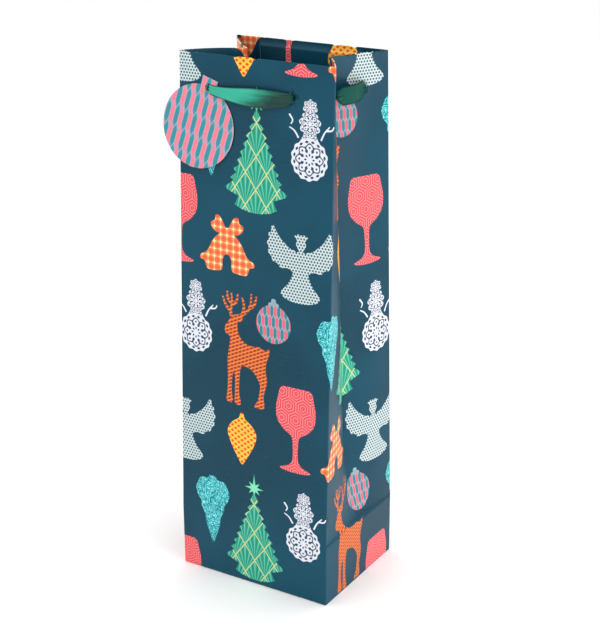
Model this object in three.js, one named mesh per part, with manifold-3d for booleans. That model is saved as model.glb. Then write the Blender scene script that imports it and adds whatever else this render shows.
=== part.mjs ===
// A printed paper wine bag with gusseted sides, a turned-in rim, a ribbon drawn
// through punched holes and a hanging card tag. Millimetres, +Z up, front at -Y.
// The origin is the middle of the base, on the surface that the bag stands on.
import * as THREE from "three";
import { mergeVertices } from "three/addons/utils/BufferGeometryUtils.js";
import Module from "manifold-3d";

// The bag as it stands, folded from one sheet.
const WIDTH = 114;
const DEPTH = 89;
const HEIGHT = 355;
const PAPER = 0.4;
const CREASE_HEIGHT = 44.5; // the crease round the bag that the base folds up on
const RIM_INSET = 11.75; // how far the front and the back each lean in at the rim
const FOLD_GAP = 0.3; // between sheets that lie on each other
const CORNER_GAP = 3; // from a corner fold to the edge of a gusset half
const GUSSET_FOLD_GAP = 1; // from a gusset half to its centre fold, left open
const GUSSET_FOOT_RISE = 4; // how much higher a gusset half starts at its centre fold
const GUSSET_COLUMNS = 3;

// The rim: the sheet is turned in over a stiffening card on the front and the back.
const HEM = 45;
const WALL_HEM_MARGIN = 18;
const GUSSET_HEM_MARGIN = 9;
const CARD = 0.8;
const CARD_DROP = 5;
const CARD_HEIGHT = 32;
const CARD_MARGIN = 1;

// The base: four glued flaps under a loose stiffening card.
const SIDE_FLAP_REACH = 30;
const BASE_FLAP_LAP = 12;
const BASE_CARD = 1;
const BASE_CARD_GAP = 1;

// The ribbon and the holes it runs through.
const HOLE_RADIUS = 3;
const HOLE_DROP = 21;
const HOLE_SPACING = 60;
const HOLE_SHIFT = -3.7;
const GUSSET_HOLE_FROM_CORNER = 19.5;
const RIBBON_WIDTH = 11;
const RIBBON = 0.6;
const RIBBON_STAND_OFF = 2.2;
const RIBBON_BULGE = 3;
const RIBBON_RISE = 3.5; // from the hole's centre up to the ribbon's upper edge
const RIBBON_STEPS = 12;
const GATHERED_WIDTH = 1.6;
const GATHERED_HEIGHT = 4;
const THREAD_LENGTH = 1.5; // what shows of the gathered ribbon outside a hole
const KNOT_HALF_SIZE = [4, 1.4, 3.2];
const KNOT_FROM_HOLE = 13.7; // clear of the gussets as they fold in

// The tag: a card disc with a cap, hung by the ribbon.
const TAG = 0.5;
const TAG_RADIUS = 26.5;
const TAG_HOLE_RADIUS = 2.6;
const TAG_HOLE_TO_CENTRE = 26;
const TAG_CAP_WIDTH = 11.5;
const TAG_CAP_HEIGHT = 5.5;
const TAG_TURN = THREE.MathUtils.degToRad(17);

const LEAN = Math.atan(RIM_INSET / (HEIGHT - CREASE_HEIGHT));
const WALL_HEIGHT = (HEIGHT - CREASE_HEIGHT) / Math.cos(LEAN);
const HALF_GUSSET = DEPTH / 2;
const HOLE_ALONG_WALL = WALL_HEIGHT - HOLE_DROP;
const HOLE_Z = CREASE_HEIGHT + HOLE_ALONG_WALL * Math.cos(LEAN);
const HOLE_X = [HOLE_SHIFT - HOLE_SPACING / 2, HOLE_SHIFT + HOLE_SPACING / 2];
const WALL_STACK = 2 * PAPER + CARD + 2 * FOLD_GAP;
const GUSSET_STACK = 2 * PAPER + FOLD_GAP;

const wasm = await Module();
wasm.setup();

const bag = new THREE.Group();

function material(color, roughness) {
  return new THREE.MeshStandardMaterial({ color, roughness, metalness: 0 });
}

const finish = {
  print: material(0x17505f, 0.55),
  board: material(0xd9d6cc, 0.9),
  satin: material(0x1f9c86, 0.4),
  tag: material(0xe8707f, 0.6),
};

function add(parent, name, geometry, surface) {
  const mesh = new THREE.Mesh(geometry, surface);
  mesh.name = name;
  parent.add(mesh);
  return mesh;
}

function rectangle(x0, y0, x1, y1) {
  const shape = new THREE.Shape();
  shape.moveTo(x0, y0);
  shape.lineTo(x1, y0);
  shape.lineTo(x1, y1);
  shape.lineTo(x0, y1);
  shape.closePath();
  return shape;
}

function circle(x, y, radius) {
  return new THREE.Path().absarc(x, y, radius, 0, 2 * Math.PI);
}

// A solid of the flat shape, drawn in X and Z, with its near face set in by inset.
function upright(shape, thickness, inset) {
  return new THREE.ExtrudeGeometry(shape, {
    depth: thickness,
    bevelEnabled: false,
    curveSegments: 10,
  })
    .rotateX(Math.PI / 2)
    .translate(0, inset + thickness, 0);
}

// A solid of the flat shape, drawn in X and Y, lying with its lower face at z.
function level(shape, thickness, z) {
  return new THREE.ExtrudeGeometry(shape, {
    depth: thickness,
    bevelEnabled: false,
    curveSegments: 16,
  }).translate(0, 0, z);
}

// The points of a thick line in the plane, mitred at its bends.
function ribbonOutline(points, thickness) {
  const sides = [[], []];
  points.forEach((point, i) => {
    const before = point.clone().sub(points[Math.max(i - 1, 0)]).normalize();
    const after = points[Math.min(i + 1, points.length - 1)].clone().sub(point).normalize();
    const along = before.clone().add(after).normalize();
    const bend = i > 0 && i < points.length - 1 ? along.dot(after) : 1;
    const across = new THREE.Vector2(-along.y, along.x).multiplyScalar(thickness / 2 / bend);
    sides[0].push(point.clone().add(across));
    sides[1].unshift(point.clone().sub(across));
  });
  return new THREE.Shape([...sides[0], ...sides[1]]);
}

// Half the bag's depth at a height, and how far a gusset half has turned there.
function edgeAt(z) {
  return HALF_GUSSET - Math.max(z - CREASE_HEIGHT, 0) * Math.tan(LEAN);
}

function gussetAngle(z) {
  return Math.acos(edgeAt(z) / HALF_GUSSET);
}

// A point of the right front gusset half: along it from the corner fold, and in
// from its printed face.
function gussetPoint(along, z, inset) {
  const turn = gussetAngle(z);
  return new THREE.Vector3(
    WIDTH / 2 - along * Math.sin(turn) - inset * Math.cos(turn),
    -edgeAt(z) + along * Math.cos(turn) - inset * Math.sin(turn),
    z,
  );
}

// A closed solid between two faces that share one grid of columns and rows.
// pointAt gives the place for a share across, a share up and 0 or 1 for the face.
function thickSheet(columns, rows, pointAt) {
  const places = [];
  for (const face of [0, 1]) {
    for (let row = 0; row <= rows; row += 1) {
      for (let column = 0; column <= columns; column += 1) {
        places.push(...pointAt(column / columns, row / rows, face));
      }
    }
  }
  const at = (column, row, face) => {
    return (face * (rows + 1) + row) * (columns + 1) + column;
  };
  const index = [];
  const quad = (a, b, c, d) => index.push(a, b, c, a, c, d);
  for (let row = 0; row < rows; row += 1) {
    for (let i = 0; i < columns; i += 1) {
      quad(at(i, row, 0), at(i + 1, row, 0), at(i + 1, row + 1, 0), at(i, row + 1, 0));
      index.push(at(i, row, 1), at(i + 1, row + 1, 1), at(i + 1, row, 1));
      index.push(at(i, row, 1), at(i, row + 1, 1), at(i + 1, row + 1, 1));
    }
    quad(at(0, row, 0), at(0, row + 1, 0), at(0, row + 1, 1), at(0, row, 1));
    const last = columns;
    quad(at(last, row, 0), at(last, row, 1), at(last, row + 1, 1), at(last, row + 1, 0));
  }
  for (let i = 0; i < columns; i += 1) {
    quad(at(i, 0, 0), at(i, 0, 1), at(i + 1, 0, 1), at(i + 1, 0, 0));
    quad(at(i, rows, 0), at(i + 1, rows, 0), at(i + 1, rows, 1), at(i, rows, 1));
  }
  const geometry = new THREE.BufferGeometry();
  geometry.setAttribute("position", new THREE.Float32BufferAttribute(places, 3));
  geometry.setIndex(index);
  geometry.computeVertexNormals();
  return geometry;
}

// A sheet of the right front gusset half, bent as the gusset is. Its rows are
// closer together near the crease, where the gusset turns most.
function gussetSheet(from, to, low, inset, rows) {
  return thickSheet(GUSSET_COLUMNS, rows, (across, up, face) => {
    const along = THREE.MathUtils.lerp(from, to, across);
    const z = THREE.MathUtils.lerp(low(along), HEIGHT, up ** 2);
    return gussetPoint(along, z, inset + face * PAPER);
  });
}

function toSolid(geometry) {
  const bare = geometry.clone();
  bare.deleteAttribute("normal");
  if (bare.hasAttribute("uv")) bare.deleteAttribute("uv");
  const merged = mergeVertices(bare, 1e-4);
  return new wasm.Manifold(
    new wasm.Mesh({
      numProp: 3,
      vertProperties: merged.getAttribute("position").array,
      triVerts: new Uint32Array(merged.index.array),
    }),
  );
}

function toGeometry(solid) {
  const mesh = solid.getMesh();
  const geometry = new THREE.BufferGeometry();
  geometry.setAttribute("position", new THREE.BufferAttribute(mesh.vertProperties, 3));
  geometry.setIndex(new THREE.BufferAttribute(mesh.triVerts, 1));
  geometry.computeVertexNormals();
  return geometry;
}

// The ribbon's hole through a gusset sheet, square to the sheet.
function punch(geometry) {
  const out = gussetPoint(GUSSET_HOLE_FROM_CORNER, HOLE_Z, -5);
  const into = gussetPoint(GUSSET_HOLE_FROM_CORNER, HOLE_Z, 5);
  const bore = new THREE.CylinderGeometry(HOLE_RADIUS, HOLE_RADIUS, out.distanceTo(into), 20);
  bore.applyQuaternion(
    new THREE.Quaternion().setFromUnitVectors(
      new THREE.Vector3(0, 1, 0),
      into.clone().sub(out).normalize(),
    ),
  );
  bore.translate(...out.add(into).multiplyScalar(0.5));
  return toGeometry(toSolid(geometry).subtract(toSolid(bore)));
}

// The same geometry mirrored across the middle of the bag, left for right or front
// for back, with its faces turned to point out again.
function mirrored(geometry, signX, signY) {
  const copy = geometry.index ? geometry.toNonIndexed() : geometry.clone();
  copy.scale(signX, signY, 1);
  if (signX * signY < 0) {
    const place = copy.getAttribute("position");
    for (let i = 0; i < place.count; i += 3) {
      const second = new THREE.Vector3().fromBufferAttribute(place, i + 1);
      const third = new THREE.Vector3().fromBufferAttribute(place, i + 2);
      place.setXYZ(i + 1, ...third);
      place.setXYZ(i + 2, ...second);
    }
  }
  copy.computeVertexNormals();
  return copy;
}

// The box that the base folds into, up to the crease.
function buildBase() {
  const side = HALF_GUSSET - PAPER - FOLD_GAP;
  const wall = upright(rectangle(-WIDTH / 2, 0, WIDTH / 2, CREASE_HEIGHT), PAPER, -DEPTH / 2);
  add(bag, "base_front", wall, finish.print);
  add(bag, "base_back", mirrored(wall, 1, -1), finish.print);
  const cheek = new THREE.BoxGeometry(PAPER, 2 * side, CREASE_HEIGHT);
  cheek.translate((WIDTH - PAPER) / 2, 0, CREASE_HEIGHT / 2);
  add(bag, "base_right", cheek, finish.print);
  add(bag, "base_left", mirrored(cheek, -1, 1), finish.print);
}

function buildFlaps() {
  const x = WIDTH / 2 - PAPER - FOLD_GAP;
  const y = HALF_GUSSET - PAPER - FOLD_GAP;
  const step = PAPER + FOLD_GAP;
  const outer = rectangle(-x, -BASE_FLAP_LAP, x, y);
  add(bag, "base_flap_back", level(outer, PAPER, 0), finish.print);
  const middle = rectangle(-x, -y, x, BASE_FLAP_LAP);
  add(bag, "base_flap_front", level(middle, PAPER, step), finish.board);
  const side = new THREE.Shape();
  side.moveTo(x, -y);
  side.lineTo(x, y);
  side.lineTo(x - SIDE_FLAP_REACH, y - SIDE_FLAP_REACH);
  side.lineTo(x - SIDE_FLAP_REACH, SIDE_FLAP_REACH - y);
  side.closePath();
  const flap = level(side, PAPER, 2 * step);
  add(bag, "base_flap_right", flap, finish.board);
  add(bag, "base_flap_left", mirrored(flap, -1, 1), finish.board);
  const cardX = x - BASE_CARD_GAP;
  const cardY = y - BASE_CARD_GAP;
  const card = rectangle(-cardX, -cardY, cardX, cardY);
  add(bag, "base_card", level(card, BASE_CARD, 3 * step), finish.board);
}

// A leaning panel in its own frame: X across, Y in from the printed face, Z up it.
function buildWall(name, parent, holes) {
  const punched = (shape) => {
    shape.holes = holes.map((x) => circle(x, HOLE_ALONG_WALL, HOLE_RADIUS));
    return shape;
  };
  const panel = rectangle(-WIDTH / 2, FOLD_GAP, WIDTH / 2, WALL_HEIGHT);
  add(parent, `${name}_panel`, upright(punched(panel), PAPER, 0), finish.print);
  const hemX = WIDTH / 2 - WALL_HEM_MARGIN;
  const hem = rectangle(-hemX, WALL_HEIGHT - HEM, hemX, WALL_HEIGHT);
  const hemInset = WALL_STACK - PAPER;
  add(parent, `${name}_hem`, upright(punched(hem), PAPER, hemInset), finish.print);
  const cardX = hemX - CARD_MARGIN;
  const cardTop = WALL_HEIGHT - CARD_DROP;
  const card = rectangle(-cardX, cardTop - CARD_HEIGHT, cardX, cardTop);
  add(parent, `${name}_rim_card`, upright(punched(card), CARD, PAPER + FOLD_GAP), finish.board);
}

// The span of ribbon between two holes, which is the carrying loop.
function buildHandle(name, parent, shift) {
  const points = [];
  for (let i = 0; i <= RIBBON_STEPS; i += 1) {
    const across = (2 * i) / RIBBON_STEPS - 1;
    const out = RIBBON_STAND_OFF + RIBBON / 2 + RIBBON_BULGE * (1 - across ** 2);
    points.push(new THREE.Vector2(shift + (across * HOLE_SPACING) / 2, -out));
  }
  const low = HOLE_ALONG_WALL + RIBBON_RISE - RIBBON_WIDTH;
  const band = level(ribbonOutline(points, RIBBON), RIBBON_WIDTH, low);
  add(parent, name, band, finish.satin);
}

function buildTag(parent) {
  const cap = TAG_CAP_WIDTH / 2;
  const rim = TAG_RADIUS - TAG_HOLE_TO_CENTRE;
  const start = Math.acos(cap / TAG_RADIUS);
  const shape = new THREE.Shape();
  shape.moveTo(cap, rim + TAG_CAP_HEIGHT);
  shape.lineTo(-cap, rim + TAG_CAP_HEIGHT);
  shape.absarc(0, -TAG_HOLE_TO_CENTRE, TAG_RADIUS, Math.PI - start, 2 * Math.PI + start);
  shape.closePath();
  shape.holes = [circle(0, 0, TAG_HOLE_RADIUS)];
  const tag = add(parent, "gift_tag", upright(shape, TAG, -TAG - FOLD_GAP), finish.tag);
  tag.position.set(HOLE_X[0], 0, HOLE_ALONG_WALL);
  tag.rotation.y = TAG_TURN;
}

function buildWalls() {
  for (const name of ["front", "back"]) {
    const turned = name === "back";
    const side = new THREE.Group();
    side.rotation.z = turned ? Math.PI : 0;
    const wall = new THREE.Group();
    wall.position.set(0, -DEPTH / 2, CREASE_HEIGHT);
    wall.rotation.x = -LEAN;
    side.add(wall);
    bag.add(side);
    const sign = turned ? -1 : 1;
    buildWall(name, wall, HOLE_X.map((x) => sign * x));
    buildHandle(`${name}_ribbon_handle`, wall, sign * HOLE_SHIFT);
    if (!turned) buildTag(wall);
  }
}

const corners = [
  ["right_front", 1, -1],
  ["left_front", -1, -1],
  ["right_back", 1, 1],
  ["left_back", -1, 1],
];

// The four gusset halves and their turned-in rims.
function buildGussets() {
  const open = HALF_GUSSET - GUSSET_FOLD_GAP;
  const foot = (along) => {
    return CREASE_HEIGHT + FOLD_GAP + (GUSSET_FOOT_RISE * along) / HALF_GUSSET;
  };
  const half = punch(gussetSheet(CORNER_GAP, open, foot, 0, 10));
  const hemFoot = () => HEIGHT - HEM;
  const hemInset = PAPER + FOLD_GAP;
  const hem = punch(gussetSheet(GUSSET_HEM_MARGIN, open, hemFoot, hemInset, 4));
  for (const [name, signX, signY] of corners) {
    add(bag, `${name}_gusset`, mirrored(half, signX, -signY), finish.print);
    add(bag, `${name}_gusset_hem`, mirrored(hem, signX, -signY), finish.print);
  }
}

const flat = (point) => new THREE.Vector2(point.x, point.y);

// Inside each corner the gathered ribbon runs from the panel's hole to the
// gusset's, and shows a little outside both.
function buildCornerRibbons() {
  const hole = GUSSET_HOLE_FROM_CORNER;
  const clear = FOLD_GAP + GATHERED_WIDTH / 2;
  const face = edgeAt(HOLE_Z);
  for (const [name, signX, signY] of corners) {
    const x = signX * HOLE_X[signX > 0 ? 1 : 0];
    const path = [
      new THREE.Vector2(x, -face - THREAD_LENGTH),
      new THREE.Vector2(x, -face + WALL_STACK + clear),
      flat(gussetPoint(hole, HOLE_Z, GUSSET_STACK + clear)),
      flat(gussetPoint(hole, HOLE_Z, -THREAD_LENGTH)),
    ];
    const low = HOLE_Z - GATHERED_HEIGHT / 2;
    const run = level(ribbonOutline(path, GATHERED_WIDTH), GATHERED_HEIGHT, low);
    add(bag, `${name}_ribbon_run`, mirrored(run, signX, -signY), finish.satin);
  }
}

// Outside each gusset the ribbon crosses its centre fold.
function buildSideRibbons() {
  const end = gussetPoint(GUSSET_HOLE_FROM_CORNER, HOLE_Z, -THREAD_LENGTH);
  const x = end.x + GATHERED_WIDTH;
  const y = -end.y;
  const low = HOLE_Z + RIBBON_RISE - RIBBON_WIDTH;
  const band = level(rectangle(x, -y, x + RIBBON, y), RIBBON_WIDTH, low);
  add(bag, "right_ribbon_span", band, finish.satin);
  add(bag, "left_ribbon_span", mirrored(band, -1, 1), finish.satin);
}

// The ribbon's two ends are knotted together inside the back panel.
function buildKnot() {
  const [across, thick, tall] = KNOT_HALF_SIZE;
  const face = edgeAt(HOLE_Z) - WALL_STACK - FOLD_GAP;
  const knot = new THREE.SphereGeometry(1, 14, 10).scale(across, thick, tall);
  knot.translate(HOLE_X[0] + KNOT_FROM_HOLE, face - thick, HOLE_Z);
  add(bag, "ribbon_knot", knot, finish.satin);
}

buildBase();
buildFlaps();
buildWalls();
buildGussets();
buildCornerRibbons();
buildSideRibbons();
buildKnot();

export default bag;
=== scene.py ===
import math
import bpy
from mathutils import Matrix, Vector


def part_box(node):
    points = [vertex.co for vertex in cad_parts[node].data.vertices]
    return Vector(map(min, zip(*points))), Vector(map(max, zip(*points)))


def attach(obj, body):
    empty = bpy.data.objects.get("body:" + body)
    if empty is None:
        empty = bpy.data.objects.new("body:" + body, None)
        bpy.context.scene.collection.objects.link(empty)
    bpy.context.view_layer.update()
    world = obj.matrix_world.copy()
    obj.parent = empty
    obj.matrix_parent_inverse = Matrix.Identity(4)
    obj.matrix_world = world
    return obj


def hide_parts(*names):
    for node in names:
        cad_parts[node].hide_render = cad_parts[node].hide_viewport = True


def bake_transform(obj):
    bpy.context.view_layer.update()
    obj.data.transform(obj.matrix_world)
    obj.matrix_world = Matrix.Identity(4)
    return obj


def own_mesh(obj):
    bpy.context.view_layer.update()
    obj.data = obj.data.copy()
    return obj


bl_info = {
    "name": "Wine Gift Bag",
    "version": (1, 0, 0),
    "blender": (4, 5, 0),
    "location": "View3D > Sidebar > Gift Bag",
    "description": "Builds the printed paper bag, its ribbon, its tag and the stage",
    "category": "Object",
}

from functools import partial

import bmesh
import bpy
import numpy as np
from mathutils import Matrix, Vector
from mathutils.geometry import delaunay_2d_cdt

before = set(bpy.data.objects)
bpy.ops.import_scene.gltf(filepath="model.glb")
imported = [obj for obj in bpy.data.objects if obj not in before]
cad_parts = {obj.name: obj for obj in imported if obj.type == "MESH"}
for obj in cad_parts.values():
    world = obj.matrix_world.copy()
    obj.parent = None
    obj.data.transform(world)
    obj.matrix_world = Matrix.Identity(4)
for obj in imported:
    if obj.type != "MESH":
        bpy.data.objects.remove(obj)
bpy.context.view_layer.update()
MM = 0.001


# ---------------------------------------------------------------- sizes, mm


def box_mm(node):
    """A CAD node's lowest and highest corners, in millimetres."""
    low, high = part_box(node)
    return np.array(low) / MM, np.array(high) / MM


HALF_WIDTH = box_mm("base_front")[1][0]
HALF_DEPTH = -box_mm("base_front")[0][1]
CREASE = box_mm("base_front")[1][2]
HEIGHT = box_mm("front_panel")[1][2]
SHEET = 0.25  # real paper, thinner than the CAD's
CAD_SHEET = box_mm("base_front")[1][1] + HALF_DEPTH
RIM_INSET = box_mm("front_panel")[1][1] + HALF_DEPTH - CAD_SHEET
LEAN = math.atan(RIM_INSET / (HEIGHT - CREASE))
HEM = HEIGHT - box_mm("front_hem")[0][2]
FLAP_LAP = -box_mm("base_flap_back")[0][1]
HANDLE_LOW, HANDLE_HIGH = box_mm("front_ribbon_handle")
HOLES = (HANDLE_LOW[0], HANDLE_HIGH[0])
HOLE_Z = 0.5 * sum(box_mm("right_front_ribbon_run")[i][2] for i in (0, 1))
HOLE_RADIUS = 3.0
GUSSET_HOLE = 19.5  # from the corner, along a gusset half
CARD_LOW, CARD_HIGH = box_mm("front_rim_card")
CARD_EDGE = 1.6  # how softly the turned-in rim falls off the card
CORNER_RADIUS = 0.7
RIM_RADIUS = 0.3
FOOT_RADIUS = 0.5
THICKNESS_OVER_CARD = 1.5
BASE_FLAP_GAP = 0.6
RIM_ROW = HEIGHT - 12.0
TAG_RADIUS = 26.5
TAG_DROP = 26.0  # from the tag's hole to the middle of its disc
GUSSET_BOW = 3.6
GUSSET_PULL = {"right": 7.0, "left": 0.5}  # how far a centre fold stands out at the rim
REPEAT = (186.0, 256.5)  # the print's repeat, round the bag and up it
SIDE_START = round(HALF_WIDTH, 3)  # the flat print is 0 at the middle of the front
BACK_START = round(HALF_WIDTH + 2 * HALF_DEPTH, 3)
BACK_MIDDLE = BACK_START + SIDE_START
UV_UNIT = 200.0  # the print's millimetres in one unit of its UV map


# ------------------------------------------------------------- shape tools


def unit(v):
    """Each row of v divided by its length."""
    return v / np.maximum(np.linalg.norm(v, axis=-1, keepdims=True), 1e-12)


def smooth_step(t):
    """0 before 0, 1 after 1 and 3t^2 - 2t^3 between."""
    t = np.clip(t, 0, 1)
    return t * t * (3 - 2 * t)


def edge_at(z):
    """Half the bag's depth at height z: constant to the crease, then a straight lean."""
    return HALF_DEPTH - np.clip(z - CREASE, 0, None) * math.tan(LEAN)


def gusset_turn(z):
    """The angle that a gusset half has turned in, whose cosine is its depth's share."""
    return np.arccos(np.clip(edge_at(z) / HALF_DEPTH, -1, 1))


def from_fold(point, middle, along, half_angle, radius, distance):
    """Points at a distance along a sheet from the middle of a rounded fold: first on an
    arc about a centre on the fold's bisector, then on the straight side."""
    arc = radius * (math.pi / 2 - half_angle)
    centre = point + middle * (radius / np.sin(half_angle))[:, None]
    across = unit(along - np.sum(along * middle, axis=1, keepdims=True) * middle)
    turn = np.clip(distance / radius, 0, math.pi / 2 - half_angle)
    bent = centre + radius[:, None] * (
        -np.cos(turn)[:, None] * middle + np.sin(turn)[:, None] * across
    )
    tangent = radius / np.tan(half_angle)
    straight = point + along * (tangent + distance - arc)[:, None]
    return np.where((distance < arc)[:, None], bent, straight), tangent - arc


def corner_fold(z, inset):
    """The right front corner at height z, moved in by inset: its point, its bisector,
    the directions of the panel and of the gusset half, and half the angle between."""
    turn = gusset_turn(z)
    zero = np.zeros_like(z)
    panel = np.stack([zero - 1, zero], axis=1)
    half = np.stack([-np.sin(turn), np.cos(turn)], axis=1)
    middle = unit(panel + half)
    half_angle = (math.pi / 2 - turn) / 2
    point = np.stack([zero + HALF_WIDTH, -edge_at(z)], axis=1)
    return point + middle * (inset / np.sin(half_angle))[:, None], middle, panel, half, half_angle


def panel_line(share, z, inset):
    """The front panel in plan: share runs from -1 at the left corner to 1 at the right."""
    point, middle, along, _, half_angle = corner_fold(z, inset)
    radius = np.maximum(CORNER_RADIUS - inset, 0.15)
    zero = np.zeros_like(z)
    spare = from_fold(point, middle, along, half_angle, radius, zero)[1]
    reach = point[:, 0] - spare
    scale = reach / HALF_WIDTH
    across = np.abs(share) * HALF_WIDTH * (1 - (1 - scale) * np.abs(share) ** 3)
    place = from_fold(point, middle, along, half_angle, radius, reach - across)[0]
    return np.stack([np.sign(share) * place[:, 0], place[:, 1]], axis=1)


def gusset_line(share, z, inset):
    """The right front gusset half in plan: share is 0 at its corner, 1 at its centre."""
    start, middle, _, along, half_angle = corner_fold(z, inset)
    turn = gusset_turn(z)
    zero = np.zeros_like(z)
    radius = np.maximum(CORNER_RADIUS - inset, 0.15)
    end = np.stack([HALF_WIDTH - HALF_DEPTH * np.sin(turn) - inset / np.cos(turn), zero], axis=1)
    out = np.stack([zero + 1, zero], axis=1)
    centre_radius = CORNER_RADIUS + inset
    spare = from_fold(start, middle, along, half_angle, radius, zero)[1]
    far_spare = from_fold(end, out, -along, math.pi / 2 - turn, centre_radius, zero)[1]
    length = np.linalg.norm(end - start, axis=1) - spare - far_spare
    near = from_fold(start, middle, along, half_angle, radius, share * length)[0]
    far = from_fold(
        end, out, -along, math.pi / 2 - turn, centre_radius, (1 - share) * length
    )[0]
    return np.where((share < 0.5)[:, None], near, far)


def over_rim(flat):
    """Height and inset of the sheet at a flat height: up the outside, half round a
    small arc at the rim, then down the inside."""
    start = HEIGHT - RIM_RADIUS
    turn = np.clip((flat - start) / RIM_RADIUS, 0, math.pi)
    after = np.clip(flat - start - math.pi * RIM_RADIUS, 0, None)
    z = np.where(flat < start, flat, start + RIM_RADIUS * np.sin(turn) - after)
    return z, RIM_RADIUS * (1 - np.cos(turn))


def flat_inside(z):
    """The flat height at which the turned-in rim passes height z."""
    start = HEIGHT - RIM_RADIUS
    return start + math.pi * RIM_RADIUS + (start - z)


def card_rise(x, z):
    """How far the turned-in rim is pushed in by the card under it, with soft edges."""
    rise = THICKNESS_OVER_CARD
    for at, low, high in ((x, CARD_LOW[0], CARD_HIGH[0]), (z, CARD_LOW[2], CARD_HIGH[2])):
        rise = rise * smooth_step((at - low) / CARD_EDGE + 1)
        rise = rise * smooth_step((high - at) / CARD_EDGE + 1)
    return rise


def panel_bow(share, z):
    """A slight outward bow and a slow ripple of a paper panel, zero at its edges."""
    up = np.clip((z - CREASE) / (HEIGHT - CREASE), 0, 1)
    hold = (1 - share**2) * np.sin(math.pi * np.clip(up / 0.86, 0, 1))
    return hold * (0.9 + 0.25 * np.sin(9 * up + 2 * share))


def place_panel(share, flat):
    """The front sheet in space, from the base flap under the bag to inside the rim."""
    z, inset = over_rim(flat)
    down = np.clip((FOOT_RADIUS - flat) / FOOT_RADIUS, 0, math.pi / 2)
    under = np.clip(FOOT_RADIUS - flat - FOOT_RADIUS * math.pi / 2, 0, None)
    inside = np.where(flat > HEIGHT, np.clip(inset / (2 * RIM_RADIUS), 0, 1), 0)
    rise = card_rise(share * HALF_WIDTH, z) * inside
    line = panel_line(share, np.clip(z, 0, HEIGHT), inset + rise)
    z = np.where(flat < FOOT_RADIUS, FOOT_RADIUS * (1 - np.sin(down)), z)
    foot = np.where(flat < FOOT_RADIUS, FOOT_RADIUS * (1 - np.cos(down)) + under, 0)
    x = np.where(under > 0, share * (HALF_WIDTH - 0.3), line[:, 0])
    y = line[:, 1] + foot - panel_bow(share, z) * (flat < HEIGHT)
    return np.stack([x, y, z], axis=1)


def soft_gusset_line(share, z, inset, pull):
    """The gusset half in plan as soft paper stands: bowed out between its folds, and its
    centre fold pulled out a little towards the rim."""
    line = gusset_line(share, z, inset)
    up = np.clip((z - CREASE) / (HEIGHT - CREASE), 0, 1)
    turn = gusset_turn(z)
    bow = GUSSET_BOW * np.sin(math.pi * share) * np.sin(0.8 * math.pi * up**0.8)
    line = line + bow[:, None] * np.stack([np.cos(turn), np.sin(turn)], axis=1)
    line[:, 0] += pull * smooth_step(1.6 * up) * share**2
    return line


def place_gusset(share, flat, pull):
    """The right front gusset half in space, from the crease to inside the rim."""
    z, inset = over_rim(flat)
    line = soft_gusset_line(share, np.clip(z, 0, HEIGHT), inset, pull)
    z = z - 1.2 * smooth_step((z - CREASE) / (HEIGHT - CREASE)) * share**2
    return np.stack([line[:, 0], line[:, 1], z], axis=1)


def place_cheek(share, flat):
    """The base's right wall in plan, from its front corner to its back corner."""
    z = np.clip(flat, 0, None)
    near = gusset_line(np.clip(2 * share, 0, 1), np.zeros_like(z), np.zeros_like(z))
    far = gusset_line(np.clip(2 - 2 * share, 0, 1), np.zeros_like(z), np.zeros_like(z))
    y = np.where(share < 0.5, near[:, 1], -far[:, 1])
    x = np.where(share < 0.5, near[:, 0], far[:, 0])
    return np.stack([x, y, z], axis=1)


# ------------------------------------------------------------ print shapes


def closed_curve(points, steps=5):
    """A closed smooth line through the points, by Catmull-Rom pieces."""
    p = np.array(points, float)
    before, after, beyond = np.roll(p, 1, 0), np.roll(p, -1, 0), np.roll(p, -2, 0)
    t = np.linspace(0, 1, steps, endpoint=False)[None, :, None]
    p0, p1, p2, p3 = (q[:, None, :] for q in (before, p, after, beyond))
    line = 0.5 * (
        2 * p1
        + (p2 - p0) * t
        + (2 * p0 - 5 * p1 + 4 * p2 - p3) * t**2
        + (3 * p1 - p0 - 3 * p2 + p3) * t**3
    )
    return line.reshape(-1, 2)


def both_sides(points):
    """A closed outline from its right side, top to bottom, and that side mirrored."""
    right = np.array(points, float)
    left = right[::-1] * (-1, 1)
    return np.concatenate([right, left[np.abs(left[:, 0]) > 1e-6]])


def round_shape(x, y, radius, waves=0, depth=0.0, steps=44):
    """A circle whose radius may ripple: r (1 + depth cos(waves a))."""
    a = np.linspace(0, 2 * math.pi, steps, endpoint=False)
    r = radius * (1 + depth * np.cos(waves * a))
    return np.stack([x + r * np.sin(a), y + r * np.cos(a)], axis=1)


def stroke(points, start, end):
    """A line drawn as a thin shape whose width runs from start to end."""
    p = np.array(points, float)
    along = unit(np.gradient(p, axis=0))
    across = np.stack([-along[:, 1], along[:, 0]], axis=1)
    width = np.linspace(start, end, len(p))[:, None] / 2
    return np.concatenate([p + across * width, (p - across * width)[::-1]])


def star_shape(x, y, radii):
    """A star with a ray for each radius, and a small waist between rays."""
    n = len(radii)
    a = np.arange(2 * n) * math.pi / n
    r = np.stack([np.array(radii, float), np.full(n, 2.6)], axis=1).ravel()
    return np.stack([x + r * np.sin(a), y + r * np.cos(a)], axis=1)


def tree_shapes():
    """A fir of eight ragged tiers under a star of rays."""
    tier = np.arange(8)
    tip = np.stack([3.2 + 2.25 * tier, 59.5 - 5.5 * tier], axis=1)
    notch = tip + (-2.1, -2.2)
    side = np.stack([tip, notch], axis=1).reshape(-1, 2)
    foot = [(22.8, 14.6), (21.5, 12.8), (13, 9.5), (15.6, 3.8)]
    sweep = [(11, 1.6), (5.5, 0.4), (0, 0)]
    outline = both_sides([(0, 66), *side, *foot, *sweep])
    star = star_shape(0, 69, [10.5, 6, 7.6, 6, 5, 6, 7.6, 6])
    return [("fir", outline), ("mint", star)]


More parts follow.
